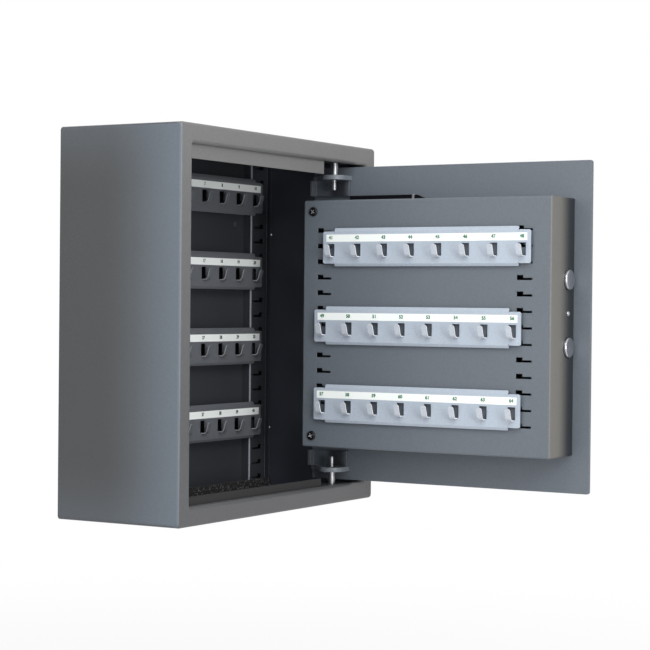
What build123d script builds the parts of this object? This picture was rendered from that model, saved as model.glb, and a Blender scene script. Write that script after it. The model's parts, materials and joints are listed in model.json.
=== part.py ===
from build123d import *
import os
from math import cos, pi, sin, sqrt

# A wall cabinet for keys, shown with its door swung open.
# X runs to the right, Y from the front into the wall, Z up, all in millimetres.
# The origin is the centre of the four wall fixings, on the outer face of the back panel.

# Cabinet body
cabinet_width = 450.0
cabinet_height = 465.0
cabinet_depth = 174.0
sheet = 1.5
corner_radius = 5.0
front_bend = 3.0
frame_width = 23.5
opening_bend = 4.5
opening_corner = 3.0
stop_gap = 1.0
hinge_return_depth = 5.0
stop_reach_top = 16.7
stop_reach_bottom = 10.4
stop_plate_gap = 23.5
back_flange = 12.0
fixing_spacing_x = 304.0
fixing_spacing_z = 264.0
fixing_hole = 9.0
mat_thickness = 3.0
mat_margin = 4.0

# Door
door_plate = 5.0
door_recess = 1.0
door_gap = 2.5
door_gap_hinge = 4.0
door_gap_ends = 3.5
door_open_angle = 90.0
pivot_from_edge = 40.0
pivot_behind_face = 22.0

# Cover on the inside of the door
cover_depth = 68.0
cover_edge = 2.0
cover_margin = 22.5
cover_margin_hinge = 25.0
cover_bracket_gap = 9.0
cover_screw_inset = 14.5
cover_screw_head = 12.0
cover_screw_head_height = 2.6
cover_screw_head_bevel = 1.1
cover_screw_shank = 5.0
cover_screw_depth = 10.0
cover_post = 12.0
side_screw_head = 6.5
side_screw_head_height = 2.0
side_screw_head_bevel = 0.8

# Key hook bars and the slots that they hang in
slot_pitch = 20.0
cover_slot_margin = 35.0
post_slot_margin = 12.0
slot_mouth_width = 8.8
slot_mouth_height = 6.0
door_slot_tail = 12.0
body_slot_tail = 14.0
slot_tail_height = 2.6
bar_sheet = 1.2
bar_standoff = 6.0
bar_end_length = 15.5
bar_end_top = 18.3
bar_end_bottom = -22.8
bar_flange_top = 22.6
bar_flange_bottom = -26.2
bar_flange_lean = 2.0
bar_flange_corner = 1.8
bar_relief = 1.0
lug_inset = 4.6
lug_thickness = 2.0
lug_rows = (0, -1)
bar_travel = 12.0
seat_gap = 0.3
door_bar_side_gap = 28.85
door_bar_margin = 11.6
body_bar_side_gap = 22.7
body_bar_margin = 19.0
hook_window_width = 10.2
hook_window_top = 2.4
hook_window_bottom = -13.3
hook_width = 7.4
hook_reach = 11.5
hook_root = 7.5
hook_bend = 2.0
hook_tip = 0.8
hook_tip_corner = 1.6
label_bottom = 5.0
label_height = 9.4
label_thickness = 0.3
door_label_margin = 4.7
body_label_margin = 5.5
door_hooks = 8
body_hooks = 10
door_bars = 3
body_bars = 4
door_rows_above = 1
door_rows_below = 1
body_rows_above = 2
body_rows_below = 4
door_bar_slid = (True, False, False)
door_bar_offset = 8.0
post_width = 40.0
post_behind_mouth = 5.5
post_depth = 12.5
post_end_gap = 4.0

# Hinges
pin_diameter = 6.0
pin_fit = 0.05
pin_tail = 14.0
pin_groove_from_ear = 3.0
pin_groove_width = 0.9
pin_groove_depth = 0.7
pin_chamfer = 1.0
collar_diameter = 10.0
collar_gap = 0.4
hinge_plate_half_length = 30.0
hinge_plate_thickness = 4.0
hinge_plate_behind_pin = 22.0
bracket_thickness = 6.0
bracket_from_door_end = 11.5
bracket_leg_height = 26.2
bracket_leg_thickness = 5.0
bracket_leg_before_pin = 15.5
bracket_length = 54.0
bracket_nose = 16.8
bracket_ear_inset = 5.5
bracket_flange_reach = 13.9
bracket_flange_thickness = 4.0

# Boltwork
bolt_diameter = 25.0
bolt_length = 58.0
bolt_rest_reach = 3.5
bolt_throw = 20.0
bolt_pitch = 83.0
bolt_behind_plate = 17.5
bolt_centre_height = 16.5
bolt_clearance_hole = 27.0
bolt_chamfer = 1.0
guide_thickness = 4.0
guide_fit = 0.05
guide_edge = 6.0
guide_foot = 16.0
guide_foot_thickness = 3.0
guide_half_height = 60.0
carriage_web = 4.0
carriage_plate = 3.0
carriage_off_door = 5.0
carriage_plate_length = 96.0
carriage_plate_half_height = 41.0
stud_diameter = 7.0
stud_head = 14.0
stud_head_thickness = 3.0
stud_spacing = 64.0
slot_play = 0.6
knob_from_lock_edge = 124.0
spindle_diameter = 10.0
spindle_fit = 0.05
spindle_in_knob = 12.0
crank_disc = 38.0
crank_disc_thickness = 4.0
crank_pin = 6.0
crank_pin_play = 1.0
crank_gap = 0.5

# Knob, keypad and lock case on the door
knob_diameter = 44.0
knob_height = 26.0
knob_base_height = 7.0
knob_base_bevel = 2.0
knob_grip_width = 13.0
knob_grip_inset = 1.0
knob_grip_corner = 6.3
knob_grip_bevel = 1.6
keypad_width = 82.0
keypad_height = 118.0
keypad_depth = 20.0
keypad_taper = 6.0
keypad_corner = 14.0
keypad_bevel = 2.0
keypad_above_knob = 98.0
keypad_recess = 3.0
keypad_recess_margin = 3.0
gasket_thickness = 1.0
key_width = 17.0
key_height = 14.0
key_corner = 2.2
key_bevel = 0.7
key_pitch_x = 21.0
key_pitch_z = 19.0
key_gap = 0.35
key_travel = 1.2
key_proud = 1.5
key_body = 5.5
key_rows = (("1", "2", "3"), ("4", "5", "6"), ("7", "8", "9"), ("star", "0", "hash"))
keys_below_centre = 8.0
lamp_diameter = 5.0
lamp_depth = 4.0
lamp_proud = 1.0
lamp_bevel = 0.6
lamp_height_above_keys = 22.0
case_length = 62.0
case_height = 46.0
case_depth = 26.0
case_bevel = 1.5
case_below_knob = 68.0
case_ear = 10.0
case_ear_height = 16.0
case_ear_thickness = 2.5

# Black lead along the cover's upper edge, with its clip
lead_start_from_pin = 16.5
lead_length = 112.0
lead_height = 8.6
lead_thickness = 4.0
lead_taper = 14.0
lead_tip_height = 3.0
lead_clip_from_tip = 18.0
lead_clip_width = 3.0
lead_clip_sheet = 0.6

# Planes and edges that several pieces share
front = -cabinet_depth
half_width = cabinet_width / 2
half_height = cabinet_height / 2
opening_half_width = half_width - frame_width
opening_half_height = half_height - frame_width
inner_half_width = half_width - sheet
inner_half_height = half_height - sheet
back_inner = -sheet
post_face = back_inner - post_depth
post_half_height = inner_half_height - sheet - post_end_gap

door_face = front + door_recess
door_inner = door_face + door_plate
stop_front = door_inner + stop_gap
door_left = -opening_half_width + door_gap
door_right = opening_half_width - door_gap_hinge
door_width = door_right - door_left
door_height = 2 * (opening_half_height - door_gap_ends)
pivot_x = door_right - pivot_from_edge
pivot_y = door_face + pivot_behind_face
bracket_top = door_height / 2 - bracket_from_door_end
cover_left = door_left + cover_margin
cover_right = door_right - cover_margin_hinge
cover_width = cover_right - cover_left
cover_height = 2 * (bracket_top - bracket_leg_height - cover_bracket_gap)
cover_face = door_inner + cover_depth

bolt_tip = cover_left - bolt_rest_reach
bolt_rear = bolt_tip + bolt_length
bolt_y = door_inner + bolt_behind_plate
bolt_heights = (bolt_centre_height + bolt_pitch / 2, bolt_centre_height - bolt_pitch / 2)
knob_x = door_left + knob_from_lock_edge
knob_z = bolt_centre_height
crank_radius = bolt_throw / sqrt(2)
carriage_front = door_inner + carriage_off_door
carriage_back = carriage_front + carriage_plate
keypad_back = door_face - gasket_thickness
keypad_front = keypad_back - keypad_depth
knob_foot = door_face - seat_gap

# X of a bar's centre while its lugs stand in the slots' mouths, and of those mouths
body_bar_entry = 0.0
door_bar_entry = (cover_left + cover_right) / 2 + door_bar_offset
body_bar_half = inner_half_width - body_bar_side_gap
door_bar_half = cover_width / 2 - door_bar_side_gap
body_hook_pitch = 2 * (body_bar_half - body_bar_margin) / (body_hooks - 1)
door_hook_pitch = 2 * (door_bar_half - door_bar_margin) / (door_hooks - 1)
body_mouths = [body_bar_entry + side * (body_bar_half - lug_inset) for side in (-1, 1)]
door_mouths = [door_bar_entry + side * (door_bar_half - lug_inset) for side in (-1, 1)]

# Slot rows that fit each face, and the rows that the bars hang in, counted from the middle
door_slot_rows = int((cover_height - 2 * cover_slot_margin) / slot_pitch) + 1
body_slot_rows = int(2 * (post_half_height - post_slot_margin) / slot_pitch) + 1
door_bar_step = (door_slot_rows - 1 - door_rows_above - door_rows_below) // (door_bars - 1)
body_bar_step = (body_slot_rows - 1 - body_rows_above - body_rows_below) // (body_bars - 1)
door_bar_rows = [(door_slot_rows - 1) / 2 - door_rows_above - i * door_bar_step for i in range(door_bars)]
body_bar_rows = [(body_slot_rows - 1) / 2 - body_rows_above - i * body_bar_step for i in range(body_bars)]


def block(x0, x1, y0, y1, z0, z1):
    """Rectangular solid between two corners."""
    middle = Pos((x0 + x1) / 2, (y0 + y1) / 2, (z0 + z1) / 2)
    return middle * Box(x1 - x0, y1 - y0, z1 - z0)


def rounded_block(width, height, radius, y0, y1):
    """Block centred on the Y axis, with its four long edges rounded."""
    outline = Plane.XZ * RectangleRounded(width, height, radius)
    return Pos(0, y1, 0) * extrude(outline, y1 - y0)


def rod(diameter, start, end, axis="Y"):
    """Round rod from one point to another along a main axis."""
    turned = {"X": (0, 90, 0), "Y": (-90, 0, 0), "Z": (0, 0, 0)}[axis]
    length = (Vector(*end) - Vector(*start)).length
    base = Cylinder(diameter / 2, length, align=(Align.CENTER, Align.CENTER, Align.MIN))
    return Pos(*start) * (Rot(*turned) * base)


def folded_strip(points, thickness):
    """Outline of a sheet that follows the points, with mitred bends, on the left of the path."""
    run = [Vector(*p, 0) for p in points]
    normals = []
    for a, b in zip(run, run[1:]):
        d = (b - a).normalized()
        normals.append(Vector(-d.Y, d.X, 0))
    inner = []
    for i, p in enumerate(run):
        before = normals[max(i - 1, 0)]
        after = normals[min(i, len(normals) - 1)]
        mitre = (before + after).normalized()
        inner.append(p + mitre * (thickness / mitre.dot(after)))
    corners = run + inner[::-1]
    return [(c.X, c.Y) for c in corners]


def folded_sheet(points, thickness, x0, x1):
    """Folded sheet along X; the points are (y, z) pairs."""
    outline = Polyline(*folded_strip(points, thickness), close=True)
    section = Plane.YZ * make_face(outline)
    return Pos(x0, 0, 0) * extrude(section, x1 - x0)


def edges_at(shape, axis, value, tolerance=0.01):
    """Edges that lie wholly at one height of an axis."""
    return shape.edges().filter_by_position(axis, value - tolerance, value + tolerance)


def edges_beyond(shape, y):
    """Edges whose middle lies behind a plane across the Y axis."""
    return [e for e in shape.edges() if e.center().Y > y + sheet / 2]


def within(edges, half_x, half_z):
    """Edges whose middle lies inside a centred rectangle in X and Z."""
    return [e for e in edges if abs(e.center().X) < half_x and abs(e.center().Z) < half_z]


def cabinet_shell():
    """Wrap of folded sheet with its front frame and the return round the opening."""
    outer = rounded_block(cabinet_width, cabinet_height, corner_radius, front, 0)
    outer = fillet(edges_at(outer, Axis.Y, front), front_bend)
    room = rounded_block(2 * inner_half_width, 2 * inner_half_height, corner_radius - sheet, front + sheet, 0)
    return_corner = opening_corner + sheet
    plug = rounded_block(2 * (opening_half_width + sheet), 2 * (opening_half_height + sheet),
                         return_corner, front, stop_front)
    room = room - plug
    face_edges = edges_at(room, Axis.Y, front + sheet)
    inner_edges = within(face_edges, opening_half_width + 2 * sheet, opening_half_height + 2 * sheet)
    room = fillet(inner_edges, opening_bend - sheet)
    room = fillet(edges_at(room, Axis.Y, front + sheet).filter_by(
        lambda e: max(abs(e.center().X) - inner_half_width, abs(e.center().Z) - inner_half_height) > -sheet),
        front_bend - sheet)
    shell = outer - room
    shell = shell - rounded_block(2 * opening_half_width, 2 * opening_half_height, opening_corner,
                                  front, stop_front)
    rim = within(edges_at(shell, Axis.Y, front), opening_half_width + sheet, opening_half_height + sheet)
    shell = fillet(rim, opening_bend)
    shorten = block(opening_half_width - sheet, opening_half_width + 2 * sheet,
                    front + hinge_return_depth, stop_front + sheet,
                    -opening_half_height + opening_corner, opening_half_height - opening_corner)
    return shell - shorten


def back_panel():
    """Back sheet with its rim folded forward, welded inside the wrap."""
    radius = corner_radius - sheet
    panel = rounded_block(2 * inner_half_width, 2 * inner_half_height, radius, -back_flange, 0)
    panel -= rounded_block(2 * (inner_half_width - sheet), 2 * (inner_half_height - sheet),
                           radius - sheet, -back_flange, -sheet)
    for x in (-fixing_spacing_x / 2, fixing_spacing_x / 2):
        for z in (-fixing_spacing_z / 2, fixing_spacing_z / 2):
            panel -= rod(fixing_hole, (x, -sheet, z), (x, 0, z))
    return panel


def door_stop(reach):
    """Angle behind the frame's return, along the top, that the closed door rests against."""
    edge = opening_half_height
    profile = [(stop_front, edge - reach), (stop_front, edge + sheet),
               (front + opening_bend + seat_gap, edge + sheet)]
    end = pivot_x - hinge_plate_half_length - stop_plate_gap
    return folded_sheet(profile, -sheet, -opening_half_width + opening_corner, end)


def slot_cut(x, y0, y1, z, tail):
    """Opening of one slot: a tall mouth, and a thin tail to the left, level with its lower edge."""
    low = z - slot_mouth_height / 2
    half = slot_mouth_width / 2
    mouth = block(x - half, x + half, y0, y1, low, low + slot_mouth_height)
    return mouth + block(x - half - tail, x - half, y0, y1, low, low + slot_tail_height)


def hook_places(hooks, pitch):
    """X of each hook from the bar's centre."""
    return [(i - (hooks - 1) / 2) * pitch for i in range(hooks)]


def slotted_post(mouth):
    """Channel on the back panel with a ladder of slots for the hook bars."""
    half = post_width / 2
    outline = [(back_inner, -half), (post_face, -half), (post_face, half), (back_inner, half)]
    channel = Polyline(*folded_strip(outline, -sheet), close=True)
    post = extrude(Plane.XY * make_face(Rot(0, 0, 90) * channel), post_half_height, both=True)
    bends = post.edges().filter_by(Axis.Z).group_by(Axis.Y)[0]
    post = Pos(mouth - post_behind_mouth, 0, 0) * fillet(bends, sheet)
    for row in range(body_slot_rows):
        z = (row - (body_slot_rows - 1) / 2) * slot_pitch
        post -= slot_cut(mouth, post_face, post_face + sheet, z, body_slot_tail)
    return post


def hook_tongue():
    """One key hook, bent out of the face at the lower edge of its window, with its tip corners cut."""
    face = -bar_standoff
    low = hook_window_bottom
    path = [(face + bar_sheet, low), (face - hook_root + hook_bend, low),
            (face - hook_root, low + hook_bend), (face - hook_reach, hook_tip)]
    tongue = folded_sheet(path, bar_sheet, -hook_width / 2, hook_width / 2)
    tip = tongue.edges().filter_by(Axis.X, reverse=True).group_by(Axis.Z)[-1]
    return chamfer(tip, hook_tip_corner)


def hook_bar(hooks, pitch, half):
    """Folded strip with flanges, windows, hooks and the lugs that hold it."""
    face = -bar_standoff
    edge = face + bar_flange_lean
    section = [(edge, bar_flange_top), (face, bar_end_top),
               (face, bar_end_bottom), (edge, bar_flange_bottom)]
    lowest = bar_flange_bottom - bar_sheet
    highest = bar_flange_top + bar_sheet
    bar = folded_sheet(section, bar_sheet, -half + bar_end_length, half - bar_end_length)
    corners = bar.edges().filter_by(Axis.X, reverse=True)
    outer = corners.group_by(Axis.Z)[0] + corners.group_by(Axis.Z)[-1]
    bar = chamfer([e for e in outer if abs(e.length - bar_sheet) < bar_sheet / 2], bar_flange_corner)
    for end in (-1, 1):
        inner, outer = end * (half - bar_end_length), end * half
        x0, x1 = sorted((inner - end * bar_relief, outer))
        bar += block(x0, x1, face, face + bar_sheet, bar_end_bottom + bar_sheet, bar_end_top - bar_sheet)
        x0, x1 = sorted((inner, outer))
        plate = block(x0, x1, face, face + bar_sheet, bar_end_bottom, bar_end_top)
        tips = plate.edges().filter_by(Axis.Y).group_by(Axis.X)[-1 if end > 0 else 0]
        bar += chamfer(tips, bar_flange_corner)
        x0, x1 = sorted((inner - end * bar_relief, inner))
        bar -= block(x0, x1, face, edge + bar_sheet, bar_end_top - bar_sheet, highest)
        bar -= block(x0, x1, face, edge + bar_sheet, lowest, bar_end_bottom + bar_sheet)
    tongue = hook_tongue()
    half_window = hook_window_width / 2
    for x in hook_places(hooks, pitch):
        bar -= block(x - half_window, x + half_window, face, face + bar_sheet,
                     hook_window_bottom, hook_window_top)
        bar += Pos(x, 0, 0) * tongue
    for end in (-1, 1):
        for row in lug_rows:
            bar += Pos(end * (half - lug_inset), 0, row * slot_pitch) * hook_lug()
    return bar


def hook_lug():
    """Lug behind the bar: a shoulder, a thin neck for the slot's tail, and a head behind the sheet."""
    low = -slot_mouth_height / 2 + seat_gap
    top = slot_mouth_height / 2 - seat_gap
    neck = low + slot_tail_height - 2 * seat_gap
    through = sheet + seat_gap
    outline = [(-bar_standoff + bar_sheet / 2, low), (through + bar_sheet, low),
               (through + bar_sheet, top), (through, top), (through, neck),
               (-seat_gap, neck), (-seat_gap, top), (-bar_standoff + bar_sheet / 2, top)]
    section = Plane.YZ * make_face(Polyline(*outline, close=True))
    return Pos(-lug_thickness / 2, 0, 0) * extrude(section, lug_thickness)


def bar_label(half):
    """Paper strip for the hook numbers, on the face above the windows."""
    return block(-half, half, -bar_standoff - label_thickness, -bar_standoff,
                 label_bottom, label_bottom + label_height)


def floor_mat():
    """Thin mat laid on the cabinet's floor."""
    half = inner_half_width - mat_margin
    low = -inner_half_height
    return block(-half, half, stop_front + mat_margin, -back_flange - mat_margin, low, low + mat_thickness)


def hinge_plate():
    """Plate under the upper frame's return that carries the hinge pin."""
    low = opening_half_height + sheet
    near = front + opening_bend + seat_gap
    return block(pivot_x - hinge_plate_half_length, pivot_x + hinge_plate_half_length, near,
                 pivot_y + hinge_plate_behind_pin, low, low + hinge_plate_thickness)


def hinge_pin():
    """Upper pin: a collar on the hinge plate, then the grooved shaft through the door's bracket."""
    root = opening_half_height + sheet
    seat = bracket_top + collar_gap
    tip = bracket_top - bracket_thickness - pin_tail
    groove = bracket_top - bracket_thickness - pin_groove_from_ear
    radius = pin_diameter / 2
    neck = radius - pin_groove_depth
    profile = [(0, root), (collar_diameter / 2, root), (collar_diameter / 2, seat), (radius, seat),
               (radius, groove), (neck, groove), (neck, groove - pin_groove_width),
               (radius, groove - pin_groove_width), (radius, tip + pin_chamfer),
               (radius - pin_chamfer, tip), (0, tip)]
    pin = revolve(Plane.XZ * make_face(Polyline(*profile, close=True)), Axis.Z)
    return Pos(pivot_x, pivot_y, 0) * pin


def on_open_door(shape):
    """Swings a piece made on the closed door out to the open position."""
    about = Axis((pivot_x, pivot_y, 0), (0, 0, 1))
    return shape.rotate(about, door_open_angle)


def door_panel():
    """Steel plate of the door with its holes for the spindle."""
    middle = (door_left + door_right) / 2
    plate = Pos(middle, 0, 0) * rounded_block(door_width, door_height, opening_corner, door_face, door_inner)
    plate = chamfer(edges_at(plate, Axis.Y, door_face), door_recess / 2)
    hole = spindle_diameter + 2 * spindle_fit
    return plate - rod(hole, (knob_x, door_face, knob_z), (knob_x, door_inner, knob_z))


def door_cover():
    """Tray over the lock, with the slot columns for the hook bars and the two bolt holes."""
    middle = (cover_left + cover_right) / 2
    tray = block(cover_left, cover_right, door_inner, cover_face, -cover_height / 2, cover_height / 2)
    rim = edges_beyond(tray, door_inner)
    tray = fillet(rim, cover_edge)
    hollow = block(cover_left + sheet, cover_right - sheet, door_inner, cover_face - sheet,
                   sheet - cover_height / 2, cover_height / 2 - sheet)
    tray -= fillet(edges_beyond(hollow, door_inner), cover_edge - sheet)
    for mouth in door_mouths:
        for row in range(door_slot_rows):
            z = (row - (door_slot_rows - 1) / 2) * slot_pitch
            tray -= slot_cut(mouth, cover_face - sheet, cover_face, z, door_slot_tail)
    for z in bolt_heights:
        tray -= rod(bolt_clearance_hole, (cover_left, bolt_y, z), (cover_left + sheet, bolt_y, z), "X")
    side_hole = (cover_left, bolt_y, bolt_centre_height)
    tray -= rod(cover_screw_shank, side_hole, (cover_left + sheet, bolt_y, bolt_centre_height), "X")
    for x, z in cover_screw_places():
        tray -= rod(cover_screw_shank, (x, cover_face - sheet, z), (x, cover_face, z))
    return tray


def cover_screw_places():
    x = cover_right - cover_screw_inset
    z = cover_height / 2 - cover_screw_inset
    return (x, z), (x, -z)


def cover_screws():
    """Pan head screws in the cover's hinge side corners."""
    group = []
    top = cover_face + cover_screw_head_height
    for x, z in cover_screw_places():
        head = rod(cover_screw_head, (x, cover_face, z), (x, top, z))
        head = chamfer(edges_at(head, Axis.Y, top), cover_screw_head_bevel)
        shank = rod(cover_screw_shank, (x, cover_face - cover_screw_depth, z), (x, cover_face, z))
        group.append((head + shank).solid())
    return Compound(group)


def cover_posts():
    """Threaded posts on the door plate that take the cover's screws."""
    group = []
    for x, z in cover_screw_places():
        post = rod(cover_post, (x, door_inner, z), (x, cover_face - sheet, z))
        post -= rod(cover_screw_shank, (x, cover_face - cover_screw_depth, z), (x, cover_face - sheet, z))
        group.append(post.solid())
    return Compound(group)


def cover_side_screw():
    """Small screw between the bolts that holds the cover to the bolt guide."""
    z = bolt_centre_height
    top = cover_left - side_screw_head_height
    head = rod(side_screw_head, (top, bolt_y, z), (cover_left, bolt_y, z), "X")
    head = chamfer(edges_at(head, Axis.X, top), side_screw_head_bevel)
    shank = rod(cover_screw_shank, (cover_left, bolt_y, z),
                (cover_left + sheet + guide_thickness, bolt_y, z), "X")
    return head + shank


def hinge_bracket():
    """Upper bracket on the door: a leg on the plate, a short end flange, and the ear on the pin."""
    start = pivot_x - bracket_leg_before_pin
    finish = start + bracket_length
    low = bracket_top - bracket_leg_height
    leg_face = door_inner + bracket_leg_thickness
    leg = block(start, finish, door_inner, leg_face, low, bracket_top)
    flange = block(finish - bracket_flange_thickness, finish, door_inner,
                   door_inner + bracket_flange_reach, low, bracket_top - bracket_thickness)
    nose = Plane.XY * (Pos(pivot_x, pivot_y) * Circle(bracket_nose))
    ear_end = finish - bracket_ear_inset
    base = Plane.XY * make_face(Polyline(
        (start, door_inner), (ear_end, door_inner), (ear_end, leg_face),
        (pivot_x + bracket_nose * sin(pi / 4), pivot_y + bracket_nose * cos(pi / 4)),
        (pivot_x - bracket_nose, pivot_y), (pivot_x - bracket_nose, door_inner), close=True))
    ear = extrude(base + nose, -bracket_thickness)
    ear = Pos(0, 0, bracket_top) * ear
    hole = rod(pin_diameter + 2 * pin_fit, (pivot_x, pivot_y, bracket_top - bracket_thickness),
               (pivot_x, pivot_y, bracket_top), "Z")
    return leg + flange + ear - hole


def bolt_guide():
    """Angle behind the cover's side wall with the two bores that the bolts slide in."""
    x0 = cover_left + sheet
    x1 = x0 + guide_thickness
    low = bolt_centre_height - guide_half_height
    top = bolt_centre_height + guide_half_height
    reach = bolt_y + bolt_diameter / 2 + guide_edge
    guide = block(x0, x1, door_inner, reach, low, top)
    guide += block(x0, x1 + guide_foot, door_inner, door_inner + guide_foot_thickness, low, top)
    for z in bolt_heights:
        guide -= rod(bolt_diameter + 2 * guide_fit, (x0, bolt_y, z), (x1, bolt_y, z), "X")
    guide -= rod(cover_screw_shank, (x0, bolt_y, bolt_centre_height), (x1, bolt_y, bolt_centre_height), "X")
    return guide


def lock_bolt(z):
    """Round steel bolt with an eased nose."""
    bolt = rod(bolt_diameter, (bolt_tip, bolt_y, z), (bolt_rear, bolt_y, z), "X")
    return chamfer(edges_at(bolt, Axis.X, bolt_tip), bolt_chamfer)


def stud_places():
    """X and Z of the two studs, at the lock side end of the carriage's slots."""
    return [(knob_x + bolt_throw / 2, knob_z + side * stud_spacing / 2) for side in (-1, 1)]


def bolt_carriage():
    """Folded carriage behind both bolts, slotted for the spindle, the crank pin and its two studs."""
    low = bolt_centre_height - guide_half_height
    top = bolt_centre_height + guide_half_height
    web = block(bolt_rear, bolt_rear + carriage_web, carriage_front, bolt_y + bolt_diameter / 2, low, top)
    plate = block(bolt_rear, bolt_rear + carriage_plate_length, carriage_front, carriage_back,
                  knob_z - carriage_plate_half_height, knob_z + carriage_plate_half_height)
    carriage = web + plate
    spindle_room = spindle_diameter / 2 + slot_play
    carriage -= block(knob_x - spindle_room, knob_x + bolt_throw + spindle_room, carriage_front,
                      carriage_back, knob_z - spindle_room, knob_z + spindle_room)
    pin_x = knob_x + bolt_throw / 2
    pin_room = crank_pin / 2 + crank_pin_play
    carriage -= block(pin_x - pin_room, pin_x + pin_room, carriage_front, carriage_back,
                      knob_z, knob_z + crank_radius + pin_room)
    stud_room = stud_diameter / 2 + slot_play
    for x, z in stud_places():
        carriage -= block(x - stud_room, x + bolt_throw + stud_room, carriage_front, carriage_back,
                          z - stud_room, z + stud_room)
    return carriage


def carriage_studs():
    """Shouldered studs on the door that the carriage slides along."""
    group = []
    head_start = carriage_back + seat_gap
    for x, z in stud_places():
        stem = rod(stud_diameter, (x, door_inner, z), (x, head_start, z))
        head = rod(stud_head, (x, head_start, z), (x, head_start + stud_head_thickness, z))
        foot = rod(stud_head, (x, door_inner, z), (x, carriage_front - seat_gap, z))
        group.append((foot + stem + head).solid())
    return Compound(group)


def knob_spindle():
    """Spindle through the door with the crank disc and the pin that drives the carriage."""
    disc_start = carriage_back + crank_gap
    disc_end = disc_start + crank_disc_thickness
    shaft = rod(spindle_diameter, (knob_x, door_face - spindle_in_knob, knob_z), (knob_x, disc_start, knob_z))
    disc = rod(crank_disc, (knob_x, disc_start, knob_z), (knob_x, disc_end, knob_z))
    pin_x = knob_x + crank_radius * sin(pi / 4)
    pin_z = knob_z + crank_radius * cos(pi / 4)
    pin = rod(crank_pin, (pin_x, carriage_front + crank_gap, pin_z), (pin_x, disc_start, pin_z))
    return shaft + disc + pin


def turning_knob():
    """Round knob with a raised grip bar, turned half way between upright and level."""
    base_top = knob_foot - knob_base_height
    base = rod(knob_diameter, (knob_x, base_top, knob_z), (knob_x, knob_foot, knob_z))
    base = chamfer(edges_at(base, Axis.Y, base_top), knob_base_bevel)
    outline = RectangleRounded(knob_diameter - 2 * knob_grip_inset, knob_grip_width, knob_grip_corner)
    grip = extrude(Plane.XZ * outline, knob_height)
    grip = chamfer(edges_at(grip, Axis.Y, -knob_height), knob_grip_bevel)
    knob = base + Pos(knob_x, knob_foot, knob_z) * (Rot(0, 45, 0) * grip)
    bore_end = door_face - spindle_in_knob
    return knob - rod(spindle_diameter, (knob_x, bore_end, knob_z), (knob_x, knob_foot, knob_z))


def keypad_centre():
    """X and Z of the keypad's middle, above the knob."""
    return knob_x, knob_z + keypad_above_knob


def key_places():
    """X and Z of each key, in four rows of three."""
    x0, z0 = keypad_centre()
    places = {}
    for r, row in enumerate(key_rows):
        for c, name in enumerate(row):
            x = x0 + (c - 1) * key_pitch_x
            z = z0 - keys_below_centre + (1.5 - r) * key_pitch_z
            places[name] = (x, z)
    return places


def lamp_place():
    """X and Z of the status lamp above the keys."""
    x0, z0 = keypad_centre()
    return x0, z0 - keys_below_centre + 1.5 * key_pitch_z + lamp_height_above_keys


def keypad_housing():
    """Tapered moulding on the outer face, with a recessed field of pockets for the keys."""
    x0, z0 = keypad_centre()
    wide = Plane.XZ * RectangleRounded(keypad_width, keypad_height, keypad_corner)
    slim = Plane.XZ * RectangleRounded(keypad_width - keypad_taper, keypad_height - keypad_taper,
                                       keypad_corner)
    body = loft([wide.face(), Pos(0, -keypad_depth, 0) * slim.face()])
    body = chamfer(edges_at(body, Axis.Y, -keypad_depth), keypad_bevel)
    body = Pos(x0, keypad_back, z0) * body
    places = key_places().values()
    reach_x = key_width / 2 + keypad_recess_margin
    reach_z = key_height / 2 + keypad_recess_margin
    xs = [x for x, z in places]
    zs = [z for x, z in places]
    body -= block(min(xs) - reach_x, max(xs) + reach_x, keypad_front, keypad_front + keypad_recess,
                  min(zs) - reach_z, max(zs) + reach_z)
    outline = RectangleRounded(key_width + 2 * key_gap, key_height + 2 * key_gap, key_corner + key_gap)
    pocket_depth = key_body + key_travel
    pocket = extrude(Plane.XZ * outline, pocket_depth)
    for x, z in places:
        body -= Pos(x, keypad_front + keypad_recess + pocket_depth, z) * pocket
    x, z = lamp_place()
    return body - rod(lamp_diameter, (x, keypad_front, z), (x, keypad_front + lamp_depth, z))


def keypad_gasket():
    """Thin seal between the keypad and the door."""
    x0, z0 = keypad_centre()
    return Pos(x0, 0, z0) * rounded_block(keypad_width, keypad_height, keypad_corner, keypad_back, door_face)


def lamp_lens():
    """Clear lens of the status lamp."""
    x, z = lamp_place()
    tip = keypad_front - lamp_proud
    lens = rod(lamp_diameter, (x, tip, z), (x, keypad_front + lamp_depth, z))
    return chamfer(edges_at(lens, Axis.Y, tip), lamp_bevel)


def keypad_key(x, z):
    """One key, standing just proud of the housing's recess."""
    height = key_body + key_proud
    cap = extrude(Plane.XZ * RectangleRounded(key_width, key_height, key_corner), height)
    cap = chamfer(edges_at(cap, Axis.Y, -height), key_bevel)
    return Pos(x, keypad_front + keypad_recess + key_body, z) * cap


def lock_case():
    """Closed case of the electric lock, with two screw ears, on the door's inner face."""
    x0 = knob_x
    z0 = knob_z - case_below_knob
    case = Pos(x0, door_inner + case_depth / 2, z0) * Box(case_length, case_depth, case_height)
    case = chamfer(edges_beyond(case, door_inner), case_bevel)
    half = case_length / 2 + case_ear
    return case + block(x0 - half, x0 + half, door_inner, door_inner + case_ear_thickness,
                        z0 - case_ear_height / 2, z0 + case_ear_height / 2)


def lead_outline(extra):
    """Side outline of the lead, grown by a margin, from its tapered tip to its end at the bracket."""
    end = pivot_x - lead_start_from_pin
    tip = end - lead_length
    low = cover_height / 2 + seat_gap
    top = low + lead_height + extra
    return Polyline((tip, low), (end, low), (end, top), (tip + lead_taper, top),
                    (tip, low + lead_tip_height + extra), close=True)


def lead():
    """Flat black lead on the door plate, along the cover's upper edge."""
    return extrude(Plane.XZ.offset(-door_inner) * make_face(lead_outline(0)), -lead_thickness)


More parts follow.
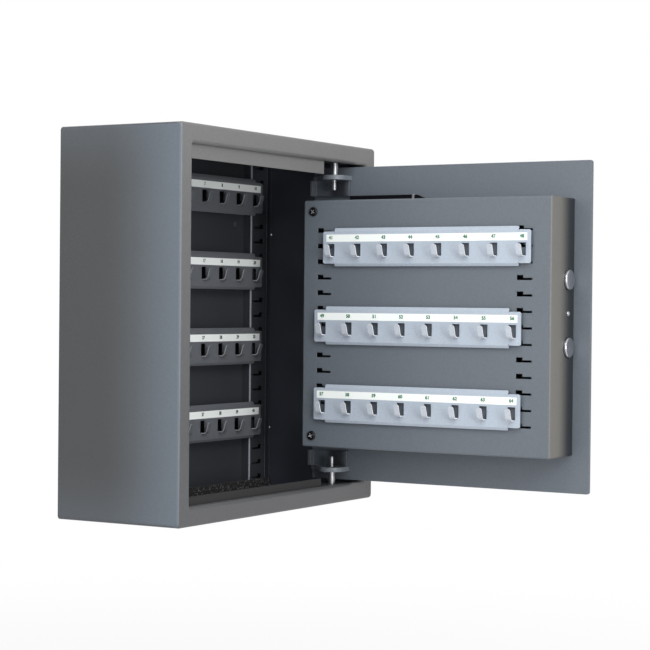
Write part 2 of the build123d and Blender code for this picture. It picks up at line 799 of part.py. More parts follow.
def lead_clip():
    """Bright clip round the lead near its tip."""
    x = pivot_x - lead_start_from_pin - lead_length + lead_clip_from_tip
    shell = extrude(Plane.XZ.offset(-door_inner) * make_face(lead_outline(lead_clip_sheet)),
                    -lead_thickness - lead_clip_sheet)
    low = cover_height / 2
    band = block(x - lead_clip_width / 2, x + lead_clip_width / 2, door_inner, cover_face,
                 low, low + 2 * lead_height)
    return (shell & band) - lead()


def place_bar(shape, centre, surface, row):
    """Puts a bar made round its own slot row against its mounting face."""
    return Pos(centre, surface, row * slot_pitch) * shape


nodes = {
    "cabinet_shell": cabinet_shell(),
    "back_panel": back_panel(),
    "door_stop_top": door_stop(stop_reach_top),
    "door_stop_bottom": mirror(door_stop(stop_reach_bottom), Plane.XY),
    "slotted_post_left": slotted_post(body_mouths[0]),
    "slotted_post_right": slotted_post(body_mouths[1]),
    "floor_mat": floor_mat(),
    "hinge_plate_top": hinge_plate(),
    "hinge_plate_bottom": mirror(hinge_plate(), Plane.XY),
    "hinge_pin_top": hinge_pin(),
    "hinge_pin_bottom": mirror(hinge_pin(), Plane.XY),
}
body_bar = hook_bar(body_hooks, body_hook_pitch, body_bar_half)
body_label = bar_label(body_bar_half - body_label_margin)
for i, row in enumerate(body_bar_rows, start=1):
    centre = body_bar_entry - bar_travel
    nodes[f"body_bar_{i}"] = place_bar(body_bar, centre, post_face, row)
    nodes[f"body_label_{i}"] = place_bar(body_label, centre, post_face, row)

door_nodes = {
    "door_panel": door_panel(),
    "door_cover": door_cover(),
    "cover_posts": cover_posts(),
    "cover_screws": cover_screws(),
    "cover_side_screw": cover_side_screw(),
    "hinge_bracket_top": hinge_bracket(),
    "hinge_bracket_bottom": mirror(hinge_bracket(), Plane.XY),
    "door_lead": lead(),
    "door_lead_clip": lead_clip(),
    "bolt_guide": bolt_guide(),
    "lock_bolt_upper": lock_bolt(bolt_heights[0]),
    "lock_bolt_lower": lock_bolt(bolt_heights[1]),
    "bolt_carriage": bolt_carriage(),
    "carriage_studs": carriage_studs(),
    "knob_spindle": knob_spindle(),
    "turning_knob": turning_knob(),
    "lock_case": lock_case(),
    "keypad_housing": keypad_housing(),
    "keypad_gasket": keypad_gasket(),
    "lamp_lens": lamp_lens(),
}
for name, (x, z) in key_places().items():
    door_nodes[f"key_{name}"] = keypad_key(x, z)

door_bar = Rot(0, 0, 180) * hook_bar(door_hooks, door_hook_pitch, door_bar_half)
door_label = Rot(0, 0, 180) * bar_label(door_bar_half - door_label_margin)
for i, (row, slid) in enumerate(zip(door_bar_rows, door_bar_slid), start=1):
    centre = door_bar_entry - bar_travel * slid
    door_nodes[f"door_bar_{i}"] = place_bar(door_bar, centre, cover_face, row)
    door_nodes[f"door_label_{i}"] = place_bar(door_label, centre, cover_face, row)

for name, shape in door_nodes.items():
    nodes[name] = on_open_door(shape)

os.makedirs("parts", exist_ok=True)
for name, shape in nodes.items():
    export_step(shape, f"parts/{name}.step")
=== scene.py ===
# %% [markdown]
# # A keypad key cabinet with its door swung open
#
# The real object is a wall cabinet of folded steel sheet, powder coated in dark grey. Its thick door
# hangs on two pivots and carries a tray-like cover, and punched bars with key hooks hang in ladders
# of slots, both on the cover and at the back of the cabinet.
#
# The solids come from a measured model, so the lesson is about what a solid doesn't have: finishes,
# printed numbers, screw recesses, rivet heads, light and a camera. Everything is in metres, in the
# model's own frame: X to the right, Y into the wall, Z up.

# %% Load the measured model
import json
from math import cos, pi, radians, sin

import bmesh
import bpy
from mathutils import Matrix, Vector, noise


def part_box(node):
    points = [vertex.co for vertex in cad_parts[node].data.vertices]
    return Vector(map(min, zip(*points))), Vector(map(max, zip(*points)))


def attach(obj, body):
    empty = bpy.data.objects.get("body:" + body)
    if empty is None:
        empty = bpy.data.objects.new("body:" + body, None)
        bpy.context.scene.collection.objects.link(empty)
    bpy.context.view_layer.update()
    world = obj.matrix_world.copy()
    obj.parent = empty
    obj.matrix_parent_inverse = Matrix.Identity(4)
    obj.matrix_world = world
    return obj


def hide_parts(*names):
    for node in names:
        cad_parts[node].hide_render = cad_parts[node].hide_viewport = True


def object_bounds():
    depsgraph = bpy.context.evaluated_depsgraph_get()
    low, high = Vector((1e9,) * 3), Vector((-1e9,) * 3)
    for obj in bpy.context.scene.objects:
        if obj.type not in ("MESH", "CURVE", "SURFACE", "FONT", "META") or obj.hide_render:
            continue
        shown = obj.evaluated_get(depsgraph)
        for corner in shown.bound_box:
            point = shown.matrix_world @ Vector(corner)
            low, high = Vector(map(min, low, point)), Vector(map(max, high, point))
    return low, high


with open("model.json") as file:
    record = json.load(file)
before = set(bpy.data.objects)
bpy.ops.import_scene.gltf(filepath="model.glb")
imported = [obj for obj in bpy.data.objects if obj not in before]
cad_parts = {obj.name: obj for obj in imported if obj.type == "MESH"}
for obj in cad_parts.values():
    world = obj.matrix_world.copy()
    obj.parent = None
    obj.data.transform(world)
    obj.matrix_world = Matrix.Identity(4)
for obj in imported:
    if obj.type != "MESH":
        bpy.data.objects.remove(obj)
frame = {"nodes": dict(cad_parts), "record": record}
nodes = frame["nodes"]
cad_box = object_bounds()

# %% [markdown]
# ## The camera
#
# The picture is taken from the left of the cabinet, at about half its height, with a long lens: the
# verticals stay upright and the far side is hardly smaller than the near one. The place and the two
# viewing directions below were solved from the corners of the cabinet, the door and the cover. A
# camera matrix is built straight from the three axes, which is clearer than three angles.

# %% Place the camera
camera_place = Vector((-2.0506, -1.4483, 0.0269))
view_forward = Vector((0.86009, 0.51002, -0.01131))
view_right = Vector((0.51013, -0.86005, 0.00958))
lens_mm = 108.07
film_mm = 36.0


def camera_matrix(place, forward, right):
    """World matrix of a camera from where it stands and the two directions of its view."""
    back = -forward.normalized()
    side = (right - back * right.dot(back)).normalized()
    up = back.cross(side)
    turned = Matrix((side, up, back)).transposed()
    return Matrix.Translation(place) @ turned.to_4x4()


lens = bpy.data.cameras.new("camera")
lens.lens = lens_mm
lens.sensor_width = film_mm
lens.clip_end = 50.0
camera = bpy.data.objects.new("camera", lens)
camera.matrix_world = camera_matrix(camera_place, view_forward, view_right)
bpy.context.scene.collection.objects.link(camera)
bpy.context.scene.camera = camera
print("camera", [round(v, 3) for v in camera_place], "lens", lens_mm)

# %% [markdown]
# ## A small language for shader maths
#
# A finish is a handful of noises and masks that are added, scaled and clamped. Written as Python
# expressions they stay readable: each wrapped socket knows the operators, and every operator adds one
# Math node. Any other node comes from one method that takes its type, settings and inputs.

# %% Sockets that add up
class Value:
    """One output socket of a shader tree, which Python's operators can work on."""

    def __init__(self, tree, socket):
        self.tree = tree
        self.socket = socket

    def math(self, operation, *others):
        return self.tree.node("ShaderNodeMath", {"operation": operation}, [self, *others])

    def __add__(self, other):
        return self.math("ADD", other)

    def __mul__(self, other):
        return self.math("MULTIPLY", other)

    def __sub__(self, other):
        return self.math("SUBTRACT", other)

    def __rsub__(self, other):
        return self.tree.node("ShaderNodeMath", {"operation": "SUBTRACT"}, [other, self])

    __radd__ = __add__
    __rmul__ = __mul__

    def above(self, level, width):
        """0 below a level and 1 above it, with a soft step of the given width."""
        return self.tree.node("ShaderNodeMapRange", {"interpolation_type": "SMOOTHSTEP"},
                              {"Value": self, "From Min": level - width, "From Max": level + width})


# Numbers of the Mix node's two colour sockets, whose names it uses for other types too.
mix_below = 6
mix_above = 7
mixed_colour = 2


class Finish:
    """A material whose node tree is written as expressions."""

    def __init__(self, name):
        self.material = bpy.data.materials.new(name)
        self.material.use_nodes = True
        self.tree = self.material.node_tree
        self.shader = self.tree.nodes["Principled BSDF"]

    def node(self, kind, settings=None, inputs=None, output=0):
        """Adds a node; its inputs come as a list in order, or as a dict by name or number."""
        made = self.tree.nodes.new(kind)
        for key, value in (settings or {}).items():
            setattr(made, key, value)
        pairs = inputs.items() if isinstance(inputs, dict) else enumerate(inputs or [])
        for key, value in pairs:
            self.feed(made.inputs[key], value)
        return Value(self, made.outputs[output])

    def feed(self, socket, value):
        if isinstance(value, Value):
            self.tree.links.new(value.socket, socket)
        else:
            socket.default_value = value

    def place(self):
        """Object coordinates, in metres."""
        return self.node("ShaderNodeTexCoord", output="Object")

    def axis(self, vector, index):
        """One coordinate of a vector."""
        return self.node("ShaderNodeSeparateXYZ", {}, [vector], output=index)

    def noise(self, size, detail=2.0, roughness=0.5, stretch=(1, 1, 1)):
        """Noise whose features are about this many metres across."""
        spot = self.node("ShaderNodeMapping", {}, {"Vector": self.place(), "Scale": stretch})
        return self.node("ShaderNodeTexNoise", {},
                         {"Vector": spot, "Scale": 1 / size, "Detail": detail, "Roughness": roughness})

    def mixed(self, factor, below, above):
        """Two colours mixed by a factor or a mask; each is a socket or three numbers."""
        below, above = ((*c, 1.0) if isinstance(c, tuple) else c for c in (below, above))
        return self.node("ShaderNodeMix", {"data_type": "RGBA"},
                         {"Factor": factor, mix_below: below, mix_above: above}, output=mixed_colour)

    def scaled(self, colour, factor):
        """Colour made darker or lighter by a factor."""
        return self.node("ShaderNodeVectorMath", {"operation": "SCALE"}, {0: colour, "Scale": factor})

    def bump(self, height, depth, strength=1.0, normal=None):
        """Normals of a height in units of depth metres."""
        inputs = {"Height": height, "Distance": depth, "Strength": strength}
        if normal is not None:
            inputs["Normal"] = normal
        return self.node("ShaderNodeBump", {}, inputs)

    def rounded(self, radius):
        """Normals as if the mesh's sharp edges had this radius."""
        return self.node("ShaderNodeBevel", {"samples": 6}, {"Radius": radius})

    def set(self, **values):
        """Feeds the shader's own sockets, named with underscores for their spaces."""
        for key, value in values.items():
            self.feed(self.shader.inputs[key.replace("_", " ")], value)


def darker(colour, share):
    """A colour's numbers less a share of themselves, or more for a negative share."""
    return tuple(c * (1 - share) for c in colour)


def set_constant(material, socket, value):
    """Sets a number that is the same all over on a material's own shader."""
    material.node_tree.nodes["Principled BSDF"].inputs[socket].default_value = value


print("shader language ready")

# %% [markdown]
# ## Powder coat
#
# The shell is painted inside and out in one go, yet the inside looks nearly black: it is a deep box with
# little light, and that shade is painted in as a darker, flatter colour on the inside surfaces. One mask in
# the shader, from the place of a point on the shell, keeps the painted shade and the outer coat on one
# mesh.
#
# Powder coat is a baked polymer skin. It never lies as flat as wet paint: it has a fine orange peel,
# a slight speckle, and it draws back a little from sharp edges, so corners look softer than the
# sheet under them. Noises of several sizes give this: millimetres for the peel and the mottled tone,
# tenths for the grain, and decimetres for the cloudy differences that handling leaves. The edge is
# softened with a Bevel node, because the folded sheet keeps its crisp mesh.
#
# The satin coat also mirrors the room: the side wall is dark towards the back and pale towards the front
# edge, and the front frame gets darker from top to bottom. These fall-offs are painted reflection and
# painted shade, laid into the coat as colours that run along the depth and the height of the cabinet.


# %% A powder coat in any colour
# Painted shade: the inside of the box and its walls get near-black colours, because little light reaches
# in.
shaded_inside_colour = (0.031, 0.034, 0.040)
shaded_inner_wall = (0.050, 0.057, 0.075)
# Painted reflection and shade: the side wall runs from dark at the back to pale at the front, and the front
# frame from lit at the top to shaded at the bottom.
side_rear_shade = (0.046, 0.048, 0.050)
side_front_reflection = (0.110, 0.133, 0.160)
frame_top_lit = (0.149, 0.147, 0.146)
frame_bottom_shade = (0.077, 0.078, 0.082)
inner_half_width = 0.2242   # just outside the sheet's inner faces
inner_half_height = 0.2317
frame_rear_y = -0.1662      # just behind the front frame's sheet
wall_x = 0.2236             # from here outwards a point lies on a side wall
fall_off_y = -0.124         # middle of the side wall's change from pale to dark
end_z = 0.215               # the side wall is paler beyond this height
per_height = 2.15           # one over the cabinet's height


def inside_mask(finish):
    """1 on the surfaces behind the front frame, where the painted shade goes, 0 on the outer ones."""
    spot = finish.place()
    across = finish.axis(spot, 0).math("ABSOLUTE").above(inner_half_width, 0.0002)
    along = finish.axis(spot, 2).math("ABSOLUTE").above(inner_half_height, 0.0002)
    return (1 - across) * (1 - along) * finish.axis(spot, 1).above(frame_rear_y, 0.0003)


def cabinet_coat(finish, base):
    """The coat of the whole shell: painted reflection and shade on its side and front, and painted shade
    that makes the inside near black.
    """
    spot = finish.place()
    height = finish.axis(spot, 2)
    front = finish.mixed(height * per_height + 0.5, frame_bottom_shade, frame_top_lit)
    wall = finish.axis(spot, 0).math("ABSOLUTE").above(wall_x, 0.0012)
    near_front = 1 - finish.axis(spot, 1).above(fall_off_y, 0.062)
    ends = height.math("ABSOLUTE").above(end_z, 0.06) * 0.5
    side = finish.mixed(near_front + ends * (1 - near_front), side_rear_shade, side_front_reflection)
    return finish.mixed(inside_mask(finish), finish.mixed(wall, front, side), shaded_inner_wall)


def powder_coat(name, colour, grain=0.35, rough=0.42, edge=0.0006, cloud=0.08, change=None):
    """Painted sheet; change is a function that lays other colours over parts of the coat, here painted
    light and shade.
    """
    mottle = 0.28
    peel_depth = 0.00012
    finish = Finish(name)
    fine = finish.noise(0.0006, 3.0, 0.6)
    peel_noise = finish.noise(0.0022, 2.0)
    clouds = finish.noise(0.11, 3.0)
    mottles = finish.noise(0.0024, 2.0, 0.6)
    shade = (clouds * 0.7 + fine * 0.3 - 0.5) * (2 * cloud) + (mottles - 0.5) * mottle + 1
    base = colour if change is None else change(finish, colour)
    height = fine * grain + peel_noise * (1 - grain)
    finish.set(Base_Color=finish.scaled(base, shade),
               Roughness=rough + (peel_noise - 0.5) * 0.12 + (clouds - 0.5) * 0.08,
               Normal=finish.bump(height, peel_depth, normal=finish.rounded(edge)))
    return finish.material


# The shell's coat carries the painted reflection and shade laid out above.
cabinet_paint = powder_coat("cabinet_paint", frame_top_lit, rough=0.40, change=cabinet_coat)
frame_paint = powder_coat("frame_paint", (0.15, 0.148, 0.146), rough=0.42)
# Painted shade: the lower stop lies in the box's shadow, so it gets a much darker copy of the frame's
# paint.
shaded_lower_stop_paint = powder_coat("shaded_lower_stop_paint", (0.024, 0.024, 0.025), rough=0.6, cloud=0.2)
set_constant(shaded_lower_stop_paint, "Specular IOR Level", 0.2)
# Painted shade for the back panel and the hinge plates, which lie deep inside the box.
inside_shade_paint = powder_coat("inside_shade_paint", shaded_inside_colour, rough=0.5)
door_paint = powder_coat("door_paint", (0.116, 0.135, 0.158), rough=0.46, edge=0.0009)
print("paints made")

# %% [markdown]
# Cut edges and bends catch the light, and that light is painted into the coats as highlights. The hooks
# stand out of the bars' faces, so one coordinate finds them, and the direction of a face tells a hook's cut
# edges from its broad sides, which get painted highlights of different strength. The same way gives the
# posts a painted highlight along their bends, the bracket a painted highlight on its ear and a painted
# shadow behind the pin, and the cover a side with painted shade that gets darker towards the door's plate.


# %% Coats that change with the place
def bar_coat(depth_axis, level, edge_axis, lit_broad_colour, edge_highlight_colour):
    """Change of a bar's coat: painted highlights on its hooks' broad sides and, paler still, on their cut
    edges.

    The hooks are what lies before a level along the depth axis; their cut edges face the edge axis.
    """
    def change(finish, base):
        hook = 1 - finish.axis(finish.place(), depth_axis).above(level, 0.0004)
        facing = finish.axis(finish.node("ShaderNodeTexCoord", output="Normal"), edge_axis)
        base = finish.mixed(hook, base, lit_broad_colour)
        return finish.mixed(hook * facing.math("ABSOLUTE").above(0.7, 0.1), base, edge_highlight_colour)
    return change


bend_depth = 0.0018
bend_width = 0.0016


def post_coat(edges, face, highlight_colour):
    """Change of a post's coat: a painted highlight along the two bends beside its face."""
    def change(finish, base):
        spot = finish.place()
        in_front = 1 - finish.axis(spot, 1).above(face + bend_depth, 0.0006)
        for edge in edges:
            beside = (finish.axis(spot, 0) - edge).math("ABSOLUTE")
            base = finish.mixed((1 - beside.above(bend_width, 0.0005)) * in_front, base, highlight_colour)
        return base
    return change


def bracket_coat(pin_y, ear_foot, lit_ear_colour, shadow_colour):
    """Change of a hinge bracket's coat: a painted highlight on the ear, and a painted shadow on the leg
    right behind the pin.
    """
    def change(finish, base):
        spot = finish.place()
        ear = finish.axis(spot, 2).math("ABSOLUTE").above(ear_foot, 0.0004)
        behind_pin = 1 - (finish.axis(spot, 1) - pin_y).math("ABSOLUTE").above(0.012, 0.006)
        return finish.mixed(ear, finish.mixed(behind_pin * 0.85, base, shadow_colour), lit_ear_colour)
    return change


def cover_coat(side_y, turn, bright, dim):
    """Change of the cover's coat: painted light on its lock side near the face, fading into painted shade
    towards the door's plate.
    """
    def change(finish, base):
        spot = finish.place()
        side = 1 - finish.axis(spot, 1).above(side_y + 0.0012, 0.0006)
        return finish.mixed(side, base, finish.mixed(finish.axis(spot, 0).above(turn, 0.018), bright, dim))
    return change


hook_foot = 0.0065   # from the sheet that a bar hangs on to where its hooks leave the bar's face
fade_start = 0.040   # from the cover's face to where its lock side gets darker
ear_foot_z = 0.1878
cover_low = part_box("door_cover")[0]
post_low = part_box("slotted_post_left")[0]
pin_low, pin_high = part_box("hinge_pin_top")
# The cover's lock side: painted light near its face that fades into painted shade towards the door's plate.
shaded_cover_side = cover_coat(cover_low[1], cover_low[0] + fade_start,
                         (0.143, 0.139, 0.126), (0.018, 0.021, 0.026))
cover_paint = powder_coat("cover_paint", (0.116, 0.135, 0.158), rough=0.46, edge=0.0012, change=shaded_cover_side)
# The bracket: a painted highlight on the ear, and a painted shadow on the leg behind the pin.
lit_ear_and_pin_shadow = bracket_coat((pin_low[1] + pin_high[1]) / 2, ear_foot_z,
                        (0.17, 0.19, 0.215), (0.010, 0.011, 0.014))
bracket_paint = powder_coat("bracket_paint", (0.10, 0.115, 0.135), rough=0.42, edge=0.0012, change=lit_ear_and_pin_shadow)
# Painted highlights on the hooks of the door's bars and of the cabinet's bars.
door_hook_highlights = bar_coat(0, cover_low[0] - hook_foot, 1, (0.52, 0.56, 0.62), (0.72, 0.74, 0.78))
bar_light_paint = powder_coat("bar_light_paint", (0.405, 0.46, 0.535), grain=0.2, rough=0.38, edge=0.0005,
                              change=door_hook_highlights)
body_hook_highlights = bar_coat(1, post_low[1] - hook_foot, 0, (0.125, 0.132, 0.146), (0.36, 0.37, 0.39))
bar_dark_paint = powder_coat("bar_dark_paint", (0.118, 0.126, 0.140), grain=0.2, rough=0.42, edge=0.0005,
                             change=body_hook_highlights)
# The posts: the inside's painted shade, with a painted highlight along their bends.
post_paints = {}
for side in ("left", "right"):
    low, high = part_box(f"slotted_post_{side}")
    post_paints[side] = powder_coat(f"post_paint_{side}", shaded_inside_colour, rough=0.45,
                                    change=post_coat((low[0], high[0]), low[1], (0.26, 0.28, 0.32)))
print("bar, post and cover coats made")

# %% [markdown]
# ## Bare and plated steel
#
# Turned bolts and pins carry rings of fine tool marks, so their roughness changes along the axis that
# they were turned on. Zinc-plated sheet is duller, with a faint bluish cloud in it.


# %% Steel finishes
def turned_steel(name, colour, rough, axis):
    """Steel with fine marks that run round the given axis."""
    finish = Finish(name)
    stretch = [0.02, 0.02, 0.02]
    stretch[axis] = 1.0
    marks = finish.noise(0.0004, 2.0, 0.6, tuple(stretch))
    smear = finish.noise(0.012, 3.0)
    finish.set(Base_Color=finish.mixed(smear, darker(colour, 0.14), colour),
               Metallic=1.0,
               Roughness=rough + marks * 0.14 + (smear - 0.5) * 0.1,
               Normal=finish.bump(marks, 0.00004, 0.6, finish.rounded(0.0004)))
    return finish.material


def plated_sheet(name, colour):
    """Zinc-plated sheet with a cloudy, slightly blue surface."""
    finish = Finish(name)
    clouds = finish.noise(0.02, 4.0, 0.6)
    grain = finish.noise(0.0009, 2.0)
    finish.set(Base_Color=finish.mixed(clouds, darker(colour, 0.2), colour),
               Metallic=1.0,
               Roughness=0.36 + clouds * 0.16,
               Normal=finish.bump(grain, 0.00003, 0.7, finish.rounded(0.0004)))
    return finish.material


bolt_steel = turned_steel("bolt_steel", (0.56, 0.57, 0.60), 0.24, 1)
pin_steel = turned_steel("pin_steel", (0.36, 0.365, 0.38), 0.30, 2)
rivet_steel = turned_steel("rivet_steel", (0.86, 0.86, 0.88), 0.3, 0)
worn_steel = turned_steel("worn_steel", (0.80, 0.81, 0.83), 0.3, 0)
spindle_steel = turned_steel("spindle_steel", (0.58, 0.58, 0.6), 0.26, 0)
zinc_sheet = plated_sheet("zinc_sheet", (0.60, 0.62, 0.66))
print("steels made")

# %% [markdown]
# ## Paper, felt, rubber and moulded plastic
#
# The number strips are printed card behind a matt film. The mat on the floor is needled felt, black
# with paler fibres that show as specks. The keypad on the outer side is a spark-eroded moulding, with
# smoother keys.


# %% Soft and moulded finishes
def paper(name, colour):
    finish = Finish(name)
    fibre = finish.noise(0.0012, 4.0, 0.7)
    finish.set(Base_Color=finish.mixed(fibre, darker(colour, 0.05), colour),
               Roughness=0.55 + fibre * 0.15,
               Normal=finish.bump(fibre, 0.00003, 0.5))
    return finish.material


def felt(name, dark, fleck):
    finish = Finish(name)
    fibres = finish.noise(0.0016, 5.0, 0.75)
    tufts = finish.noise(0.007, 3.0, 0.6)
    specks = finish.noise(0.0045, 2.0, 0.6).above(0.600, 0.025)
    base = finish.mixed(fibres, darker(dark, 0.5), darker(dark, -0.5))
    finish.set(Base_Color=finish.mixed(specks * fibres, base, fleck),
               Roughness=0.95,
               Sheen_Weight=0.04,
               Normal=finish.bump(fibres * 0.6 + tufts * 0.9, 0.0012, 1.0))
    return finish.material


def moulded(name, colour, rough, grain_depth):
    finish = Finish(name)
    grain = finish.noise(0.0005, 3.0, 0.65)
    wear = finish.noise(0.03, 3.0)
    finish.set(Base_Color=finish.mixed(wear, darker(colour, 0.12), darker(colour, -0.1)),
               Roughness=rough + (wear - 0.5) * 0.12,
               Normal=finish.bump(grain, grain_depth, 0.8, finish.rounded(0.0004)))
    return finish.material


label_paper = paper("label_paper", (0.90, 0.945, 0.925))
crumb_grey = paper("crumb_grey", (0.17, 0.17, 0.17))
mat_felt = felt("mat_felt", (0.007, 0.0072, 0.008), (0.16, 0.16, 0.165))
black_plastic = moulded("black_plastic", (0.022, 0.023, 0.025), 0.5, 0.00012)
key_plastic = moulded("key_plastic", (0.16, 0.165, 0.175), 0.42, 0.00004)
plug_plastic = moulded("plug_plastic", (0.045, 0.047, 0.052), 0.16, 0.00004)
seal_rubber = moulded("seal_rubber", (0.018, 0.018, 0.018), 0.75, 0.00006)
black_oxide = moulded("black_oxide", (0.016, 0.016, 0.018), 0.28, 0.00003)
set_constant(black_oxide, "Metallic", 0.6)
lamp_green = moulded("lamp_green", (0.05, 0.32, 0.09), 0.12, 0.00001)
lead_sleeve = moulded("lead_sleeve", (0.004, 0.004, 0.006), 0.8, 0.00008)
set_constant(lead_sleeve, "Specular IOR Level", 0.08)
green_ink = paper("green_ink", (0.030, 0.190, 0.085))
dark_ink = paper("dark_ink", (0.020, 0.032, 0.025))
pale_ink = paper("pale_ink", (0.72, 0.73, 0.72))
print("soft and moulded finishes made")

# %% [markdown]
# ## Finishes on the solids
#
# The record names a material slot for every solid. A table from slot to finish dresses them all at
# once, and the few that need their own marks are listed after it.

# %% Dress the solids
slot_finish = {
    "cabinet_paint": cabinet_paint,
    "door_paint": door_paint,
    "bar_grey": bar_light_paint,
    "bar_dark": bar_dark_paint,
    "label_paper": label_paper,
    "mat_felt": mat_felt,
    "bright_steel": bolt_steel,
    "pin_steel": pin_steel,
    "zinc_sheet": zinc_sheet,
    "black_screw": black_oxide,
    "black_plastic": black_plastic,
    "key_grey": key_plastic,
    "seal_rubber": seal_rubber,
    "lamp_clear": lamp_green,
}
slot_of = {part["node"]: part["material_slot"] for part in frame["record"]["subparts"]}


def dress(thing, *finishes):
    """Gives an object its finishes, one for each material number of its faces."""
    if thing.data.materials:
        thing.data.materials.clear()
    for finish in finishes:
        thing.data.materials.append(finish)


for name, solid in nodes.items():
    dress(solid, slot_finish[slot_of[name]])
# The inside's painted shade on the back panel and the hinge plates.
for name in ("back_panel", "hinge_plate_top", "hinge_plate_bottom"):
    dress(nodes[name], inside_shade_paint)
dress(nodes["door_cover"], cover_paint)
for name in ("hinge_bracket_top", "hinge_bracket_bottom"):
    dress(nodes[name], bracket_paint)
for side, paint in post_paints.items():
    dress(nodes[f"slotted_post_{side}"], paint)
dress(nodes["door_stop_top"], frame_paint)
# The lower stop gets its painted shade.
dress(nodes["door_stop_bottom"], shaded_lower_stop_paint)
dress(nodes["knob_spindle"], spindle_steel)
dress(nodes["door_lead"], lead_sleeve)
print("dressed", len(nodes), "solids")

# %% [markdown]
# ## Printed numbers
#
# Each hook has a number on the white strip above it. A Geometry Nodes tree suits this well: a repeat
# zone counts through the hooks, turns each count into a string, the string into curves and the curves
# into faces. The font is a thin one, so a flattened tube follows each outline and makes it bold. One
# tree makes every row, with its first number, count, pitch, size and stroke as inputs. The row is then
# made a plain mesh and stood on its strip.

# %% A tree that prints a row of numbers
class Tree:
    """A Geometry Nodes tree that is written node by node."""

    def __init__(self, name, inputs):
        """The inputs are given as (name, socket type, default)."""
        self.group = bpy.data.node_groups.new(name, "GeometryNodeTree")
        sockets = self.group.interface
        for title, kind, default in inputs:
            made = sockets.new_socket(title, in_out="INPUT", socket_type=kind)
            if default is not None:
                made.default_value = default
        sockets.new_socket("Geometry", in_out="OUTPUT", socket_type="NodeSocketGeometry")
        self.given = self.group.nodes.new("NodeGroupInput").outputs
        self.result = self.group.nodes.new("NodeGroupOutput").inputs["Geometry"]

    def feed(self, socket, value):
        """Links a socket to an output or, one after another, to a list of them, or sets its value."""
        for one in value if isinstance(value, list) else [value]:
            if isinstance(one, bpy.types.NodeSocket):
                self.group.links.new(one, socket)
            else:
                socket.default_value = one

    def node(self, kind, inputs, settings=None):
        """Adds a node and returns its outputs."""
        made = self.group.nodes.new(kind)
        for key, value in (settings or {}).items():
            setattr(made, key, value)
        for key, value in inputs.items():
            self.feed(made.inputs[key], value)
        return made.outputs

    def end(self, geometry, finish):
        """Ends the tree with real, dressed geometry, and returns the node group."""
        real = self.node("GeometryNodeRealizeInstances", {0: geometry})
        dressed = self.node("GeometryNodeSetMaterial", {"Geometry": real[0], "Material": finish})
        self.feed(self.result, dressed[0])
        return self.group


def number_row_tree():
    tree = Tree("number_row", [
        ("First", "NodeSocketInt", 1), ("Count", "NodeSocketInt", 8), ("Pitch", "NodeSocketFloat", 0.04),
        ("Size", "NodeSocketFloat", 0.007), ("Stroke", "NodeSocketFloat", 0.0002),
        ("Ink", "NodeSocketMaterial", None)])
    given = tree.given
    begin = tree.group.nodes.new("GeometryNodeRepeatInput")
    end = tree.group.nodes.new("GeometryNodeRepeatOutput")
    begin.pair_with_output(end)
    tree.feed(begin.inputs["Iterations"], given["Count"])
    turn = begin.outputs["Iteration"]
    number = tree.node("ShaderNodeMath", {0: turn, 1: given["First"]})
    words = tree.node("FunctionNodeValueToString", {0: number[0]})
    curves = tree.node("GeometryNodeStringToCurves", {"String": words[0], "Size": given["Size"]},
                       {"align_x": "CENTER", "align_y": "MIDDLE"})
    filled = tree.node("GeometryNodeFillCurve", {"Curve": curves[0]})
    pen = tree.node("GeometryNodeCurvePrimitiveCircle", {"Resolution": 6, "Radius": given["Stroke"]})
    single = tree.node("GeometryNodeRealizeInstances", {0: curves[0]})
    drawn = tree.node("GeometryNodeCurveToMesh", {"Curve": single[0], "Profile Curve": pen["Curve"]})
    pressed = tree.node("GeometryNodeTransform", {"Geometry": drawn[0], "Scale": (1, 1, 0.15)})
    bold = tree.node("GeometryNodeJoinGeometry", {0: [filled[0], pressed[0]]})
    along = tree.node("ShaderNodeMath", {0: turn, 1: given["Pitch"]}, {"operation": "MULTIPLY"})
    offset = tree.node("ShaderNodeCombineXYZ", {"X": along[0]})
    moved = tree.node("GeometryNodeTransform", {"Geometry": bold[0], "Translation": offset[0]})
    joined = tree.node("GeometryNodeJoinGeometry", {0: [begin.outputs["Geometry"], moved[0]]})
    tree.feed(end.inputs["Geometry"], joined[0])
    return tree.end(end.outputs["Geometry"], given["Ink"])


def grown(name, tree, values, stand=None):
    """Runs a tree with the given inputs and returns a plain mesh object, stood by a matrix."""
    seed = bpy.data.objects.new(name, bpy.data.meshes.new(name))
    bpy.context.scene.collection.objects.link(seed)
    modifier = seed.modifiers.new("grow", "NODES")
    modifier.node_group = tree
    sockets = {item.name: item.identifier for item in tree.interface.items_tree if item.in_out == "INPUT"}
    for title, value in values.items():
        modifier[sockets[title]] = value
    ready = seed.evaluated_get(bpy.context.evaluated_depsgraph_get())
    mesh = bpy.data.meshes.new_from_object(ready)
    mesh.name = name
    bpy.data.objects.remove(seed)
    if stand is not None:
        mesh.transform(stand)
    piece = bpy.data.objects.new(name, mesh)
    bpy.context.scene.collection.objects.link(piece)
    return piece


number_row = number_row_tree()
print("number tree has", len(number_row.nodes), "nodes")

# %% [markdown]
# The strips' own boxes say where a row starts, so the numbers stay on their strips when a bar moves in
# the model. A row reads to the right in the picture: along X at the back of the cabinet, and against Y
# on the open door.

# %% Print the rows
def standing(origin, reading, up):
    """Matrix that stands flat lettering at a place, with its reading and up directions."""
    reading = Vector(reading)
    up = Vector(up)
    turned = Matrix((reading, up, reading.cross(up))).transposed()
    return Matrix.Translation(Vector(origin)) @ turned.to_4x4()


film = 0.00008
digit_height = 0.0042
digit_raise = 0.0005
letter_size = digit_height / 0.72   # the font's digits are 0.72 of its size
stroke = 0.00032
body_pitch = 0.0404
door_pitch = 0.0383
body_start = 0.0135
door_start = 0.0069
body_row = 10   # numbers on a bar in the cabinet
door_row = 8    # numbers on a bar on the door


